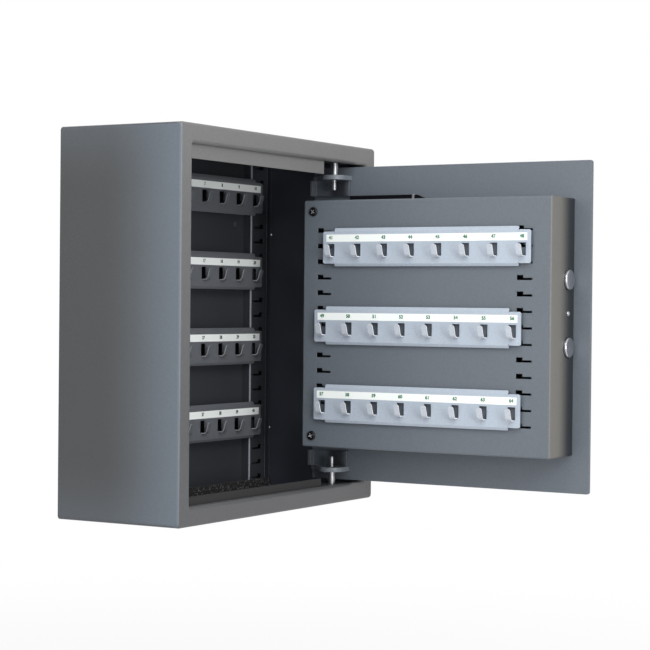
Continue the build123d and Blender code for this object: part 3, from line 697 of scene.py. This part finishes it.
def print_row(name, first, count, pitch, ink, place, reading):
    """Row of numbers from a first one on, with the first one at a place."""
    return grown(name, number_row,
                 {"First": first, "Count": count, "Pitch": pitch, "Size": letter_size, "Stroke": stroke,
                  "Ink": ink}, standing(place, reading, (0, 0, 1)))


first_number = 1
for bar in range(1, 5):
    low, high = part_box(f"body_label_{bar}")
    place = (low[0] + body_start, low[1] - film, (low[2] + high[2]) / 2 + digit_raise)
    row = print_row(f"body_numbers_{bar}", first_number, body_row, body_pitch, dark_ink, place, (1, 0, 0))
    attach(row, f"body_bar_{bar}")
    first_number += body_row
for bar in range(1, 4):
    low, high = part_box(f"door_label_{bar}")
    place = (low[0] - film, high[1] - door_start, (low[2] + high[2]) / 2 + digit_raise)
    row = print_row(f"door_numbers_{bar}", first_number, door_row, door_pitch, green_ink, place, (0, -1, 0))
    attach(row, f"door_bar_{bar}")
    first_number += door_row
print("printed", first_number - 1, "numbers")

# %% [markdown]
# ## Key legends
#
# Every key of the keypad carries one white character. A text curve is made a mesh first and only then
# stood on its key, so that the object itself stays at the origin, unturned.


# %% Letter the keys
def lettering(name, words, size, stand, ink, body):
    """One line of text as a flat mesh, stood by a matrix."""
    curve = bpy.data.curves.new(name, "FONT")
    curve.body = words
    curve.size = size
    curve.align_x = "CENTER"
    curve.align_y = "CENTER"
    maker = bpy.data.objects.new(name + "_curve", curve)
    bpy.context.scene.collection.objects.link(maker)
    ready = maker.evaluated_get(bpy.context.evaluated_depsgraph_get())
    mesh = bpy.data.meshes.new_from_object(ready)
    bpy.data.objects.remove(maker)
    mesh.transform(stand)
    piece = bpy.data.objects.new(name, mesh)
    bpy.context.scene.collection.objects.link(piece)
    dress(piece, ink)
    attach(piece, body)


sign_size = 0.0095
star_size = 0.016   # a font's star is small and high
key_signs = {str(n): str(n) for n in range(10)} | {"star": "*", "hash": "#"}
for key, sign in key_signs.items():
    low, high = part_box(f"key_{key}")
    origin = (high[0] + film, (low[1] + high[1]) / 2, (low[2] + high[2]) / 2)
    size = star_size if sign == "*" else sign_size
    stand = standing(origin, (0, 1, 0), (0, 0, 1))
    lettering(f"key_legend_{key}", sign, size, stand, pale_ink, f"key_{key}")
print("lettered", len(key_signs), "keys")

# %% [markdown]
# ## Cross-recessed screws
#
# A pan head screw is a turned dome with a cross pressed into it, and it is the pressed cross that
# catches the light. The head is spun from a short profile, and a tapered plus-shaped punch is cut from
# it with a Boolean. The driver wears the black off the recess, so the cut faces get a bright steel of
# their own. The same function makes the two black screws of the cover and the small one between the
# bolts.


# %% Screw heads with a recess
def spun(profile, steps=48):
    """Bmesh turned about Z from (radius, height) points that start and end on the axis."""
    made = bmesh.new()
    points = [made.verts.new((r, 0, z)) for r, z in profile]
    edges = [made.edges.new(pair) for pair in zip(points, points[1:])]
    bmesh.ops.spin(made, geom=points + edges, cent=(0, 0, 0), axis=(0, 0, 1), angle=2 * pi, steps=steps)
    bmesh.ops.remove_doubles(made, verts=made.verts, dist=1e-6)
    bmesh.ops.recalc_face_normals(made, faces=made.faces)
    return made


def wall_between(made, upper, lower):
    """Faces that close the ring between two outlines with as many vertices each."""
    for i in range(len(upper)):
        j = (i + 1) % len(upper)
        made.faces.new((upper[j], upper[i], lower[i], lower[j]))


def cross_punch(reach, width, depth, top):
    """Bmesh of a plus-shaped punch that narrows towards its point."""
    taper = 0.62
    made = bmesh.new()
    half = width / 2
    outline = []
    for turn in range(4):
        a = turn * pi / 2
        for x, y in ((reach, -half), (reach, half), (half, half)):
            outline.append((x * cos(a) - y * sin(a), x * sin(a) + y * cos(a)))
    upper = [made.verts.new((x, y, top + depth)) for x, y in outline]
    lower = [made.verts.new((x * taper, y * taper, top - depth)) for x, y in outline]
    made.faces.new(upper)
    made.faces.new(lower[::-1])
    wall_between(made, upper, lower)
    bmesh.ops.recalc_face_normals(made, faces=made.faces)
    return made


def as_object(name, made):
    """Object of a bmesh, which is freed."""
    mesh = bpy.data.meshes.new(name)
    made.to_mesh(mesh)
    made.free()
    thing = bpy.data.objects.new(name, mesh)
    bpy.context.scene.collection.objects.link(thing)
    return thing


def screw_mesh(radius, height, shank):
    """Mesh of one pan head screw with its cross, axis along Z and seat at zero."""
    arc = [radians(a) for a in range(0, 91, 15)]
    rim = height * 0.25   # the upright part of the head's edge
    dome = height - rim
    shank_radius = radius * 0.45
    profile = [(0, -shank), (shank_radius, -shank), (shank_radius, 0), (radius, 0)]
    profile += [(radius - dome * (1 - cos(a)), rim + dome * sin(a)) for a in arc]
    profile += [(0, height)]
    head = as_object("screw_head", spun(profile))
    punch = as_object("screw_punch", cross_punch(radius * 0.62, radius * 0.22, height * 0.7, height))
    cut = head.modifiers.new("cross", "BOOLEAN")
    cut.operation = "DIFFERENCE"
    cut.object = punch
    ready = head.evaluated_get(bpy.context.evaluated_depsgraph_get())
    mesh = bpy.data.meshes.new_from_object(ready)
    bpy.data.objects.remove(head)
    bpy.data.objects.remove(punch)
    for face in mesh.polygons:
        sunk = shank * -0.1 < face.center.z < height * 0.97
        face.material_index = int(sunk and face.center.xy.length < radius * 0.6)
    return mesh


def screws(name, seats, outward, radius, height, shank, finish, recess, replaced):
    """Screws with their seats at the given points, as one piece in place of a solid."""
    together = bmesh.new()
    for number, seat in enumerate(seats):
        one = screw_mesh(radius, height, shank)
        turn = Vector((0, 0, 1)).rotation_difference(Vector(outward)).to_matrix().to_4x4()
        spin = Matrix.Rotation(radians(20 + 31 * number), 4, "Z")   # no two screws stop alike
        one.transform(Matrix.Translation(Vector(seat)) @ turn @ spin)
        together.from_mesh(one)
    piece = as_object(name, together)
    dress(piece, finish, recess)
    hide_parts(replaced)
    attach(piece, "door")
    return piece


low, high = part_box("cover_screws")
head_radius = 0.006
head_height = 0.0026
head_shank = 0.010
seat_x = low[0] + head_height
seat_y = (low[1] + high[1]) / 2
corner_screws = screws("cover_screw_heads", [(seat_x, seat_y, low[2] + head_radius),
                                             (seat_x, seat_y, high[2] - head_radius)],
                       (-1, 0, 0), head_radius, head_height, head_shank, black_oxide, worn_steel,
                       "cover_screws")
low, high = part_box("cover_side_screw")
side_radius = 0.00325
side_height = 0.002
side_shank = 0.005
side_seat = ((low[0] + high[0]) / 2, low[1] + side_height, (low[2] + high[2]) / 2)
side_screw = screws("side_screw_head", [side_seat], (0, -1, 0), side_radius, side_height, side_shank,
                    bolt_steel, worn_steel, "cover_side_screw")
print("screws have", len(corner_screws.data.polygons), "and", len(side_screw.data.polygons), "faces")

# %% [markdown]
# ## Rivet heads on the side wall
#
# Two small heads show as bright dots low and high on the inner wall beside the hinges. A line of points
# with a flattened ball on each is all that they need.


# %% A tree that sets rivet heads on a line
def rivet_row_tree():
    tree = Tree("rivet_row", [
        ("Count", "NodeSocketInt", 2), ("Start", "NodeSocketVector", None),
        ("Step", "NodeSocketVector", None), ("Radius", "NodeSocketFloat", 0.002),
        ("Flatness", "NodeSocketVector", None), ("Finish", "NodeSocketMaterial", None)])
    given = tree.given
    line = tree.node("GeometryNodeMeshLine",
                     {"Count": given["Count"], "Start Location": given["Start"], "Offset": given["Step"]},
                     {"mode": "OFFSET"})
    ball = tree.node("GeometryNodeMeshUVSphere", {"Segments": 24, "Rings": 12, "Radius": given["Radius"]})
    flat = tree.node("GeometryNodeTransform", {"Geometry": ball["Mesh"], "Scale": given["Flatness"]})
    placed = tree.node("GeometryNodeInstanceOnPoints", {"Points": line["Mesh"], "Instance": flat[0]})
    return tree.end(placed[0], given["Finish"])


lower_rivet = (0.2235, -0.010, -0.145)
rivet_step = (0, 0, 0.265)
rivets = grown("wall_rivets", rivet_row_tree(),
               {"Count": 2, "Start": lower_rivet, "Step": rivet_step, "Radius": 0.0028,
                "Flatness": (0.5, 1.3, 0.8), "Finish": rivet_steel})
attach(rivets, "cabinet")
print("rivets have", len(rivets.data.polygons), "faces")

# %% [markdown]
# ## The mat's rear edge
#
# At the back the mat turns up against the posts, and light catches the pale crumbs in its black felt.
# The felt is a band with an uneven front, moved in code by a noise. A tree scatters the crumbs: random
# points on a sheet, each with a small ball of its own size and turn, all from fixed seeds.


# %% Felt band and crumbs
def felt_band(name, low, high, columns, rows, depth):
    """Closed band in the X-Z plane whose front, towards -Y, is uneven by a depth."""
    tufts_per_metre = 420.0
    made = bmesh.new()
    sheets = []
    for lift in (True, False):
        grid = []
        for j in range(rows + 1):
            z = low[2] + (high[2] - low[2]) * j / rows
            line = []
            for i in range(columns + 1):
                x = low[0] + (high[0] - low[0]) * i / columns
                bulge = depth * (0.5 + noise.noise(Vector((x, 0.0, z)) * tufts_per_metre)) if lift else 0
                line.append(made.verts.new((x, high[1] - lift * (high[1] - low[1]) - bulge, z)))
            grid.append(line)
        sheets.append(grid)
    front, back = sheets
    for j in range(rows):
        for i in range(columns):
            made.faces.new((front[j][i], front[j][i + 1], front[j + 1][i + 1], front[j + 1][i]))
            made.faces.new((back[j + 1][i], back[j + 1][i + 1], back[j][i + 1], back[j][i]))
    rims = [grid[0] + [line[-1] for line in grid[1:-1]] + grid[-1][::-1]
            + [line[0] for line in grid[-2:0:-1]] for grid in sheets]
    wall_between(made, rims[0], rims[1])
    bmesh.ops.recalc_face_normals(made, faces=made.faces)
    return as_object(name, made)


def crumb_tree():
    tree = Tree("crumbs", [
        ("Width", "NodeSocketFloat", 0.4), ("Height", "NodeSocketFloat", 0.01),
        ("Density", "NodeSocketFloat", 50000.0), ("Smallest", "NodeSocketVector", None),
        ("Largest", "NodeSocketVector", None), ("Finish", "NodeSocketMaterial", None)])
    given = tree.given
    grid = tree.node("GeometryNodeMeshGrid", {"Size X": given["Width"], "Size Y": given["Height"]})
    points = tree.node("GeometryNodeDistributePointsOnFaces",
                       {"Mesh": grid["Mesh"], "Density": given["Density"], "Seed": 4})
    ball = tree.node("GeometryNodeMeshIcoSphere", {"Radius": 1.0, "Subdivisions": 2})
    by_vector = {"data_type": "FLOAT_VECTOR"}
    sizes = tree.node("FunctionNodeRandomValue",
                      {0: given["Smallest"], 1: given["Largest"], "Seed": 7}, by_vector)
    turns = tree.node("FunctionNodeRandomValue", {1: (pi, pi, pi), "Seed": 9}, by_vector)
    placed = tree.node("GeometryNodeInstanceOnPoints",
                       {"Points": points["Points"], "Instance": ball["Mesh"], "Scale": sizes[0],
                        "Rotation": turns[0]})
    return tree.end(placed[0], given["Finish"])


band_top = -0.2135
band_unevenness = 0.0012
crumb_margin = 0.003   # from the band's ends to the field of crumbs
crumb_lift = 0.0008    # from the band's even front to the crumbs' middles
mat_low, mat_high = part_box("floor_mat")
band_low = Vector((mat_low[0], mat_high[1] - 0.0010, mat_high[2] + 0.0001))
band_high = Vector((mat_high[0], mat_high[1] + 0.0012, band_top))
band = felt_band("mat_rear_edge", band_low, band_high, 220, 8, band_unevenness)
dress(band, mat_felt)
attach(band, "cabinet")
crumb_middle = (0, band_low[1] - crumb_lift, (band_low[2] + band_high[2]) / 2)
crumbs = grown("mat_crumbs", crumb_tree(),
               {"Width": band_high[0] - band_low[0] - 2 * crumb_margin,
                "Height": band_high[2] - band_low[2] - 0.002, "Density": 42000.0,
                "Smallest": (0.0002, 0.0002, 0.0002), "Largest": (0.0009, 0.0007, 0.0006),
                "Finish": crumb_grey},
               standing(crumb_middle, (1, 0, 0), (0, 0, 1)))
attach(crumbs, "cabinet")
print("band and crumbs have", len(band.data.polygons), "and", len(crumbs.data.polygons), "faces")

# %% [markdown]
# ## Plugs in the fixing holes
#
# The four holes in the back panel are filled with black domed plugs, a dark thing put in so that the holes
# look dark instead of showing the white backdrop. A plug is one turned profile: a domed head and a neck as
# long as the sheet is thick.


# %% Fixing hole plugs
def plug_profile(hole_radius, sheet):
    """(radius, height) points of a plug whose head's seat is at zero."""
    neck = hole_radius - 0.0002
    head = hole_radius * 1.35
    rim = 0.0005
    rise = 0.0011
    dome = [(head * cos(radians(a)), rim + rise * sin(radians(a))) for a in range(0, 90, 15)]
    return [(0, -sheet), (neck, -sheet), (neck, 0), (head, 0)] + dome + [(0, rim + rise)]


hole_spacing = (0.304, 0.264)
hole_radius = 0.0045
sheet = 0.0013
back_sheet_y = -0.0015
together = bmesh.new()
for x in (-hole_spacing[0] / 2, hole_spacing[0] / 2):
    for z in (-hole_spacing[1] / 2, hole_spacing[1] / 2):
        one = as_object("plug", spun(plug_profile(hole_radius, sheet), 32))
        one.data.transform(Matrix.Translation((x, back_sheet_y, z)) @ Matrix.Rotation(pi / 2, 4, "X"))
        together.from_mesh(one.data)
        bpy.data.objects.remove(one)
plugs = as_object("fixing_plugs", together)
dress(plugs, plug_plastic)
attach(plugs, "cabinet")
print("plugs have", len(plugs.data.polygons), "faces")

# %% [markdown]
# ## Pointer on the knob
#
# A pale line filled with paint runs along the knob's grip and shows which way it is turned. It is a thin
# rounded bar, let into the grip's top face.

# %% Knob pointer
low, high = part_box("turning_knob")
knob_middle = Vector((high[0], (low[1] + high[1]) / 2, (low[2] + high[2]) / 2))


def bar_outline(length, width, steps=8):
    """Points round a flat bar with half-round ends."""
    points = []
    for side in (1, -1):
        for i in range(steps + 1):
            a = -pi / 2 + pi * i / steps
            x = side * (length / 2 - width / 2 + width / 2 * cos(a))
            points.append((x, side * width / 2 * sin(a)))
    return points


def pointer_bar(name, length, width, thickness):
    """Flat bar in the X-Y plane, with half-round ends and this thickness to either side."""
    made = bmesh.new()
    outline = bar_outline(length, width)
    top = [made.verts.new((x, y, thickness)) for x, y in outline]
    foot = [made.verts.new((x, y, -thickness)) for x, y in outline]
    made.faces.new(top)
    made.faces.new(foot[::-1])
    wall_between(made, top, foot)
    bmesh.ops.remove_doubles(made, verts=made.verts, dist=1e-7)
    bmesh.ops.recalc_face_normals(made, faces=made.faces)
    return as_object(name, made)


pointer_from_axis = 0.010
pointer = pointer_bar("knob_pointer", 0.014, 0.0018, 0.00015)
slant = standing(knob_middle, Vector((0, 1, -1)).normalized(), Vector((0, 1, 1)).normalized())
pointer.data.transform(slant @ Matrix.Translation((-pointer_from_axis, 0, 0)))
dress(pointer, pale_ink)
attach(pointer, "knob")
print("pointer at", [round(v, 3) for v in knob_middle])

# %% [markdown]
# ## Floor, backdrop and light
#
# The object stands clear of a pale floor, in soft light from four lamps on the camera's side: a big one
# in front and above, a broad one for the side wall, one above the open door, and a small one at the
# cabinet's own height that reaches into it. The world is white to the camera and to mirrors, and a soft
# grey to everything else, so that white surroundings don't wash out the paint. The floor keeps the
# shadow near the object and turns into the same white further out, so that no horizon shows.


# %% Studio world
def ray_seen(tree):
    """1 for camera, mirror and glass rays, in any node tree."""
    path = tree.nodes.new("ShaderNodeLightPath")
    first = tree.nodes.new("ShaderNodeMath")
    first.operation = "MAXIMUM"
    tree.links.new(path.outputs["Is Camera Ray"], first.inputs[0])
    tree.links.new(path.outputs["Is Glossy Ray"], first.inputs[1])
    second = tree.nodes.new("ShaderNodeMath")
    second.operation = "MAXIMUM"
    tree.links.new(first.outputs[0], second.inputs[0])
    tree.links.new(path.outputs["Is Transmission Ray"], second.inputs[1])
    return second.outputs[0]


lighting_grey = 0.42   # the world's strength for the light that it gives
world = bpy.data.worlds.new("studio")
bpy.context.scene.world = world
world.use_nodes = True
background = world.node_tree.nodes["Background"]
background.inputs["Color"].default_value = (1, 1, 1, 1)
strength = world.node_tree.nodes.new("ShaderNodeMapRange")
strength.inputs["To Min"].default_value = lighting_grey
strength.inputs["To Max"].default_value = 1.0
world.node_tree.links.new(ray_seen(world.node_tree), strength.inputs["Value"])
world.node_tree.links.new(strength.outputs["Result"], background.inputs["Strength"])
print("world made")

# %% Studio floor
floor_z = cad_box[0][2] - 0.35
reach = 8.0
pale_radius = 1.3   # where the floor's near tone has half gone over into white
floor_mesh = bpy.data.meshes.new("studio_floor")
floor_mesh.from_pydata([(-reach, -reach, floor_z), (reach, -reach, floor_z), (reach, reach, floor_z),
                        (-reach, reach, floor_z)], [], [(0, 1, 2, 3)])
floor = bpy.data.objects.new("studio_floor", floor_mesh)
bpy.context.scene.collection.objects.link(floor)
floor_finish = Finish("studio_floor")
floor_finish.set(Base_Color=(0.8, 0.8, 0.8, 1), Roughness=0.9)
spot = floor_finish.place()
squares = [floor_finish.axis(spot, axis).math("POWER", 2) for axis in (0, 1)]
distance = (squares[0] + squares[1]).math("SQRT")
whiteness = 0.9 + distance.above(pale_radius, 0.7) * 0.1
glow = floor_finish.tree.nodes.new("ShaderNodeEmission")
glow.inputs["Strength"].default_value = 1.0
mixed = floor_finish.tree.nodes.new("ShaderNodeMixShader")
amount = Value(floor_finish, ray_seen(floor_finish.tree)) * whiteness
floor_finish.tree.links.new(amount.socket, mixed.inputs[0])
floor_finish.tree.links.new(floor_finish.shader.outputs[0], mixed.inputs[1])
floor_finish.tree.links.new(glow.outputs[0], mixed.inputs[2])
floor_finish.tree.links.new(mixed.outputs[0], floor_finish.tree.nodes["Material Output"].inputs["Surface"])
dress(floor, floor_finish.material)


# %% Studio lamps
def soft_lamp(name, place, aim, size, watts):
    """Square lamp that looks at a point."""
    data = bpy.data.lights.new(name, "AREA")
    data.size = size
    data.energy = watts
    lamp = bpy.data.objects.new(name, data)
    lamp.location = place
    lamp.rotation_euler = (Vector(aim) - Vector(place)).to_track_quat("-Z", "Y").to_euler()
    bpy.context.scene.collection.objects.link(lamp)


soft_lamp("key_lamp", (-1.9, -2.6, 1.6), (0.0, -0.2, 0.0), 1.6, 50)
soft_lamp("side_lamp", (-3.0, 0.2, 0.7), (0.0, -0.1, 0.0), 1.8, 18)
soft_lamp("door_lamp", (-1.2, -0.7, 1.7), (0.1, -0.3, 0.0), 1.0, 15)
soft_lamp("inside_lamp", (-1.2, -2.5, 0.0), (0.1, 0.0, -0.05), 0.6, 20)
print("studio lit")

# %% [markdown]
# ## Hand over
# ## View transform
# The view transform stays plain so that a colour renders about as it was written.

# %% Finish
bpy.context.scene.view_settings.view_transform = "Standard"
